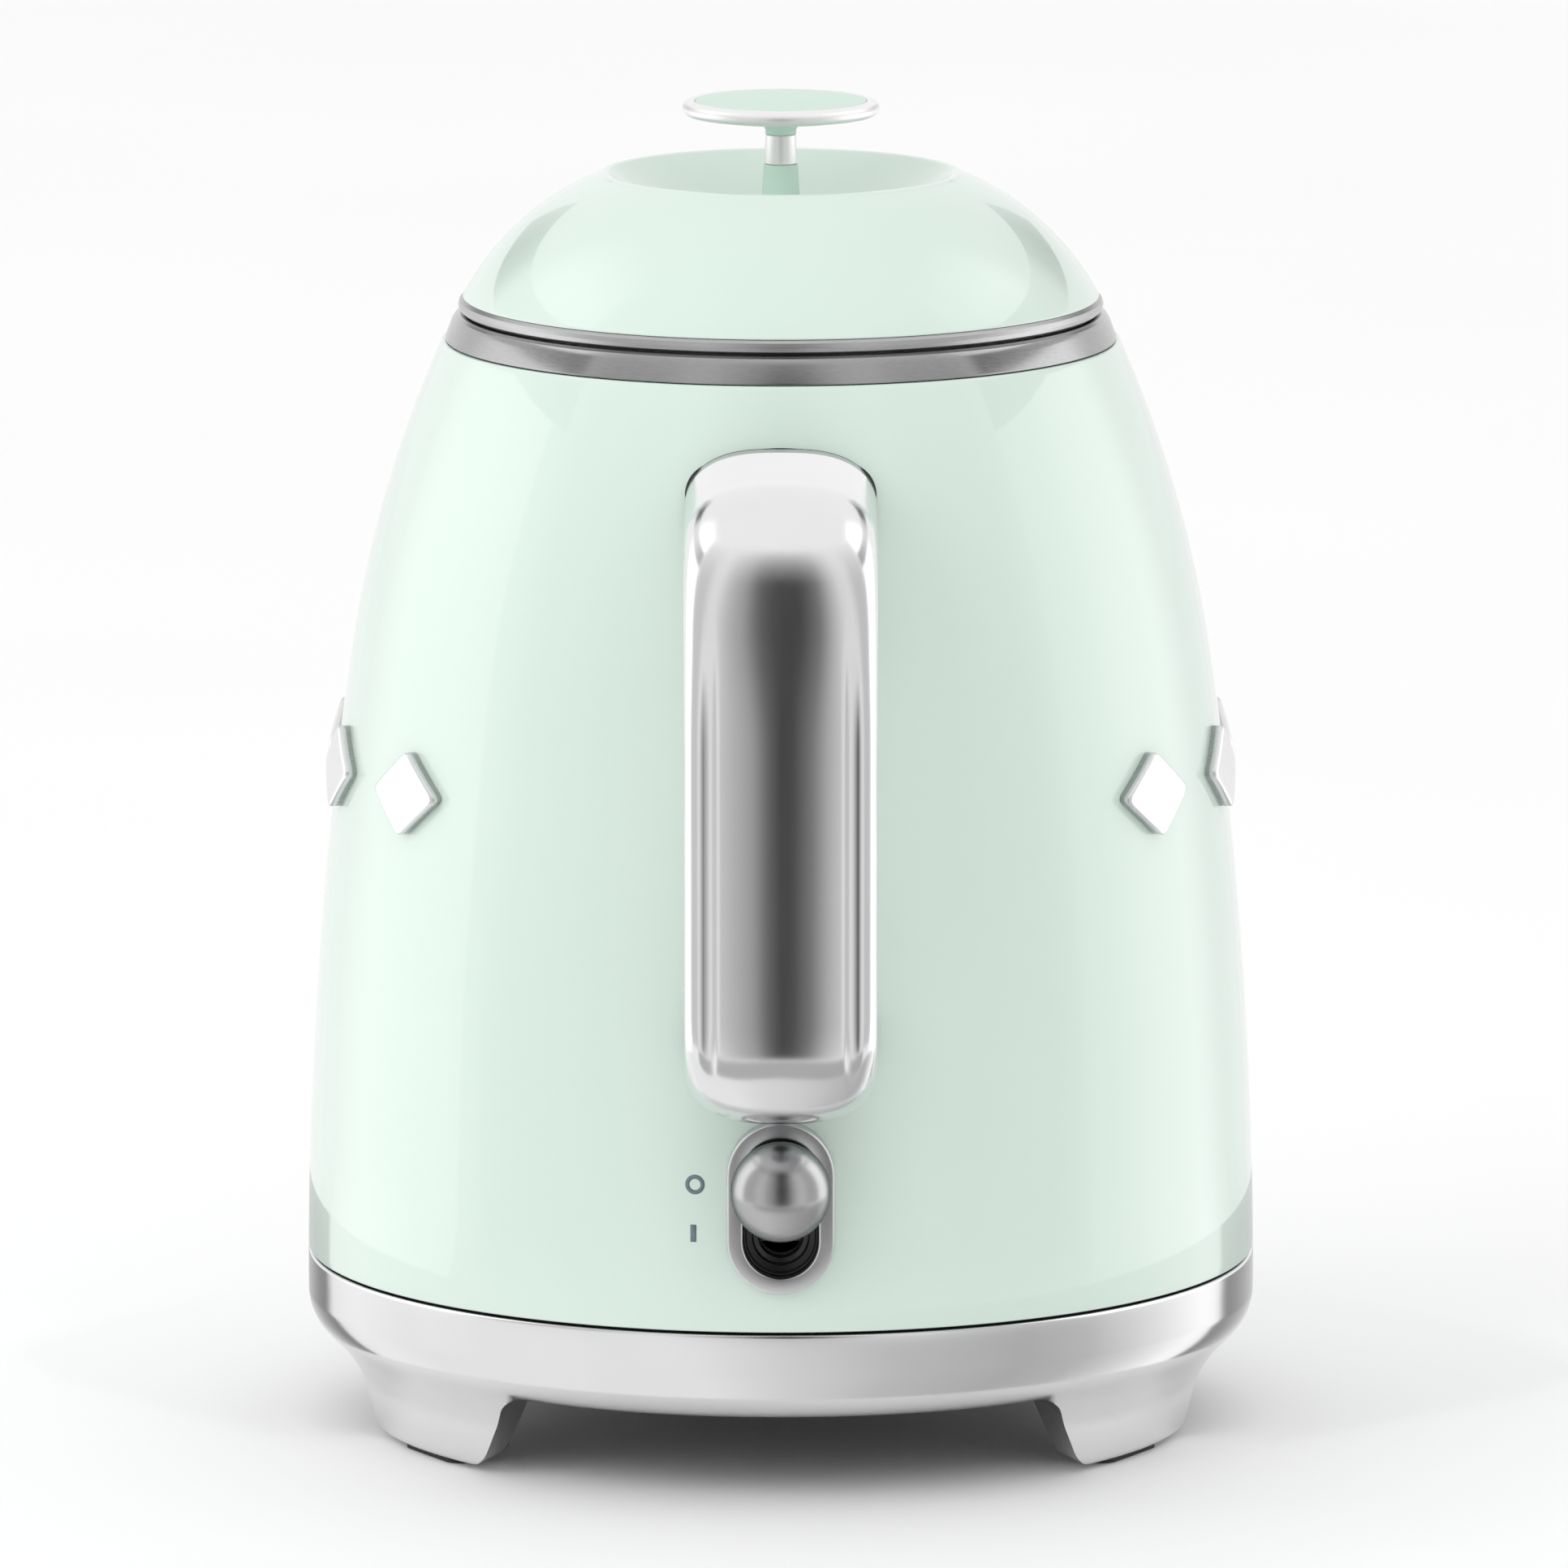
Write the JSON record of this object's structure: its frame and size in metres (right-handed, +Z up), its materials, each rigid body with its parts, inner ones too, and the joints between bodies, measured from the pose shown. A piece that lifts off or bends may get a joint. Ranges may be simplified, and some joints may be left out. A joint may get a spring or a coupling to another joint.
{
  "type": "cordless kettle",
  "caption": "Bell-shaped cordless electric kettle with a knobbed lid, short spout, square-bent handle and ball-tipped rocker switch, on a three-legged swivel power base.",
  "frame": {"origin": "middle of the whole kettle's footprint, on the worktop", "axes": "+Z up, -Y towards the handle, +Y towards the spout, +X to the right seen from the handle's side"},
  "size_m": [0.15, 0.204, 0.2112],
  "materials": {
    "mint_paint": "gloss, pale mint",
    "chrome_plate": "mirror chrome",
    "satin_chrome": "satin chrome",
    "steel": "brushed stainless steel",
    "aluminium_plate": "plain aluminium",
    "brass_contact": "bare brass",
    "black_plastic": "fine matt black",
    "grey_plastic": "matt grey",
    "white_plastic": "matt off-white",
    "black_rubber": "matt rubber",
    "silicone": "pale grey silicone"
  },
  "bodies": {
    "power_base": {"base_shell": "chrome_plate", "base_top_plate": "black_plastic", "base_bottom_cover": "black_plastic", "foot_pads": "black_rubber", "base_connector": "black_plastic", "base_contacts": "brass_contact", "cord_gland": "black_plastic", "cord_clamp": "black_plastic", "base_cover_screws": "steel"},
    "contact_ring": {"contact_ring": "brass_contact"},
    "kettle": {"body_shell": "mint_paint", "spout": "mint_paint", "rim_collar": "steel", "heater_plate": "steel", "plate_seal": "silicone", "heat_diffuser": "aluminium_plate", "heating_element": "steel", "control_unit": "white_plastic", "kettle_connector": "black_plastic", "underbody_cover": "black_plastic", "underbody_screws": "steel", "wall_brackets": "steel", "steam_tube": "steel", "bimetal_disc": "steel", "handle_outer": "chrome_plate", "handle_inner": "grey_plastic", "handle_gaskets": "black_rubber", "handle_studs": "steel", "handle_end_plates": "steel", "handle_nuts": "steel", "switch_bezel": "chrome_plate", "switch_well": "black_plastic", "switch_housing": "white_plastic", "switch_pivot": "steel", "trip_bracket": "white_plastic", "left_badges": "chrome_plate", "right_badges": "chrome_plate"},
    "switch": {"switch_lever": "black_plastic", "switch_ball": "satin_chrome"},
    "trip": {"trip_lever": "white_plastic"},
    "filter": {"filter_frame": "grey_plastic", "filter_mesh": "steel"},
    "lid": {"lid_dome": "mint_paint", "lid_trim_ring": "chrome_plate", "lid_insert": "steel", "lid_seal": "silicone", "lid_screws": "steel", "knob_post": "mint_paint", "knob_sleeve": "chrome_plate", "knob_neck": "mint_paint", "knob_disc": "chrome_plate", "knob_inlay": "mint_paint", "knob_screw": "steel"}
  },
  "joints": [
    {"name": "kettle_lift", "type": "slide", "parent": "power_base", "child": "contact_ring", "axis": [0, 0, 1], "range_m": [0, 0.1]},
    {"name": "kettle_swivel", "type": "hinge", "parent": "contact_ring", "child": "kettle", "pos_m": [0, 0.014, 0.03], "axis": [0, 0, 1], "continuous": true},
    {"name": "lid_lift", "type": "slide", "parent": "kettle", "child": "lid", "axis": [0, 0, 1], "range_m": [0, 0.06]},
    {"name": "switch_toggle", "type": "hinge", "parent": "kettle", "child": "switch", "pos_m": [0, -0.05, 0.0481], "axis": [1, 0, 0], "range_deg": [0, 22.8]},
    {"name": "trip_rock", "type": "hinge", "parent": "kettle", "child": "trip", "pos_m": [0, -0.03, 0.0504], "axis": [1, 0, 0], "range_deg": [-9.3, 0]},
    {"name": "filter_out", "type": "slide", "parent": "kettle", "child": "filter", "axis": [0, -1, 0], "range_m": [0, 0.016]}
  ],
  "couplings": [
    {"joint": "trip_rock", "follows": "switch_toggle", "ratio": -0.4}
  ]
}
